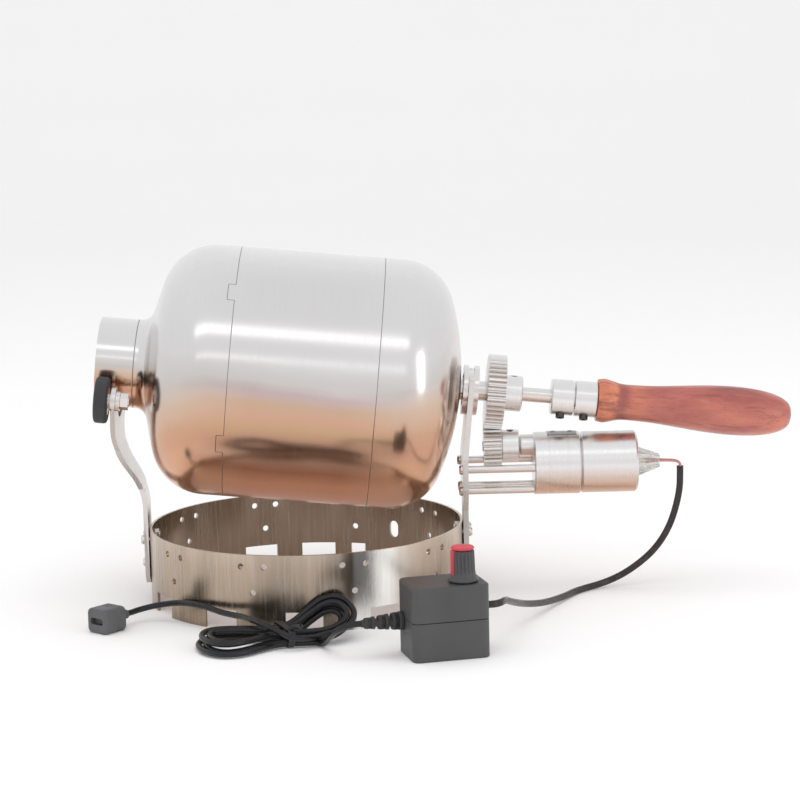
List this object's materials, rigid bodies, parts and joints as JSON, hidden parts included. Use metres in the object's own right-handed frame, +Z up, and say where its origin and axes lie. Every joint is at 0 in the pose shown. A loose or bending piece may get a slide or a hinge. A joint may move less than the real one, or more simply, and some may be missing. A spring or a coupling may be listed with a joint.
{
  "type": "coffee bean roaster",
  "caption": "Table-top coffee bean roaster: a tilted steel drum with a neck, on rollers and an open bearing slot over a ring stand, with gear motor, wooden handle and speed control.",
  "frame": {"origin": "on the table, under the middle of the box that the roaster fills without its cords", "axes": "+X runs from the drum's mouth to the handle, +Y away from the control box, +Z up"},
  "size_m": [0.3923, 0.2466, 0.2001],
  "materials": {
    "ring_steel": "satin",
    "drum_steel": "polished satin",
    "fastener_steel": "bright zinc",
    "shaft_steel": "ground",
    "bearing_steel": "polished",
    "gear_alloy": "satin",
    "motor_alloy": "satin",
    "black_steel": "black oxide",
    "tyre_rubber": "matt",
    "seal_plastic": "matt",
    "wood": "oiled",
    "box_plastic": "fine texture",
    "knob_plastic": "satin",
    "red_plastic": "satin",
    "board_green": "satin",
    "pot_metal": "satin",
    "terminal_brass": "bright",
    "clear_boot": "clear soft plastic",
    "wire_red": "satin",
    "cord_black": "matt",
    "plug_grey": "satin",
    "lead_dark": "satin"
  },
  "bodies": {
    "stand": {"base_ring": "ring_steel", "left_arm": "ring_steel", "right_arm": "ring_steel", "arm_screws": "fastener_steel", "arm_nuts": "fastener_steel", "roller_sleeves": "fastener_steel", "roller_bolts": "fastener_steel", "roller_washers": "fastener_steel", "roller_nuts": "fastener_steel", "motor_standoffs": "fastener_steel", "standoff_screws": "fastener_steel", "gearbox": "motor_alloy", "motor_can": "motor_alloy", "motor_end_cap": "seal_plastic", "motor_terminals": "terminal_brass", "terminal_boot": "clear_boot", "motor_wires": "wire_red", "motor_lead": "lead_dark", "box_lower_case": "box_plastic", "box_upper_case": "box_plastic", "circuit_board": "board_green", "potentiometer": "pot_metal", "strain_relief": "box_plastic", "lead_grommet": "box_plastic", "supply_lead": "cord_black", "supply_hank": "cord_black", "cord_tie": "cord_black", "plug_lead": "cord_black", "plug_body": "plug_grey"},
    "front_roller": {"front_roller_tyre": "tyre_rubber", "front_roller_hub": "shaft_steel"},
    "rear_roller": {"rear_roller_tyre": "tyre_rubber", "rear_roller_hub": "shaft_steel"},
    "carrier": {"bearing_outer_ring": "bearing_steel", "bearing_shields": "seal_plastic", "bearing_balls": "bearing_steel"},
    "drum": {"neck_collar": "drum_steel", "drum_front_shell": "drum_steel", "drum_body": "drum_steel", "seam_sleeve": "drum_steel", "drum_rear_dome": "drum_steel", "mixing_vanes": "shaft_steel", "shaft_flange": "shaft_steel", "drum_shaft": "shaft_steel", "shaft_nut": "fastener_steel", "shaft_washer": "fastener_steel", "bearing_inner_ring": "bearing_steel", "gear_spacer": "shaft_steel", "drive_gear": "gear_alloy", "gear_set_screw": "black_steel", "shaft_coupling": "gear_alloy", "coupling_screws": "black_steel", "handle_tang": "shaft_steel", "wooden_handle": "wood"},
    "pinion": {"motor_pinion": "gear_alloy", "pinion_set_screw": "black_steel", "output_shaft": "shaft_steel"},
    "knob": {"control_knob": "knob_plastic", "knob_cap": "red_plastic", "knob_shaft": "pot_metal"}
  },
  "joints": [
    {"name": "drum_lift", "type": "slide", "parent": "stand", "child": "carrier", "axis": [0.1045, 0, 0.9945], "range_m": [0, 0.06]},
    {"name": "drum_spin", "type": "hinge", "parent": "carrier", "child": "drum", "pos_m": [-0.07951, 0.03483, 0.125], "axis": [0.9945, 0, -0.1045], "continuous": true},
    {"name": "pinion_spin", "type": "hinge", "parent": "stand", "child": "pinion", "pos_m": [0.02645, 0.03483, 0.08299], "axis": [1, 0, 0], "continuous": true},
    {"name": "front_roller_spin", "type": "hinge", "parent": "stand", "child": "front_roller", "pos_m": [-0.18854, 0.00102, 0.11988], "axis": [0.9945, 0, -0.1045], "continuous": true},
    {"name": "rear_roller_spin", "type": "hinge", "parent": "stand", "child": "rear_roller", "pos_m": [-0.18854, 0.06864, 0.11988], "axis": [0.9945, 0, -0.1045], "continuous": true},
    {"name": "knob_turn", "type": "hinge", "parent": "stand", "child": "knob", "pos_m": [0.00363, -0.10734, 0.045], "axis": [0, 0, -1], "range_deg": [0, 300]}
  ],
  "couplings": [
    {"joint": "pinion_spin", "follows": "drum_spin", "ratio": -2},
    {"joint": "front_roller_spin", "follows": "drum_spin", "ratio": -1.9412},
    {"joint": "rear_roller_spin", "follows": "drum_spin", "ratio": -1.9412}
  ]
}
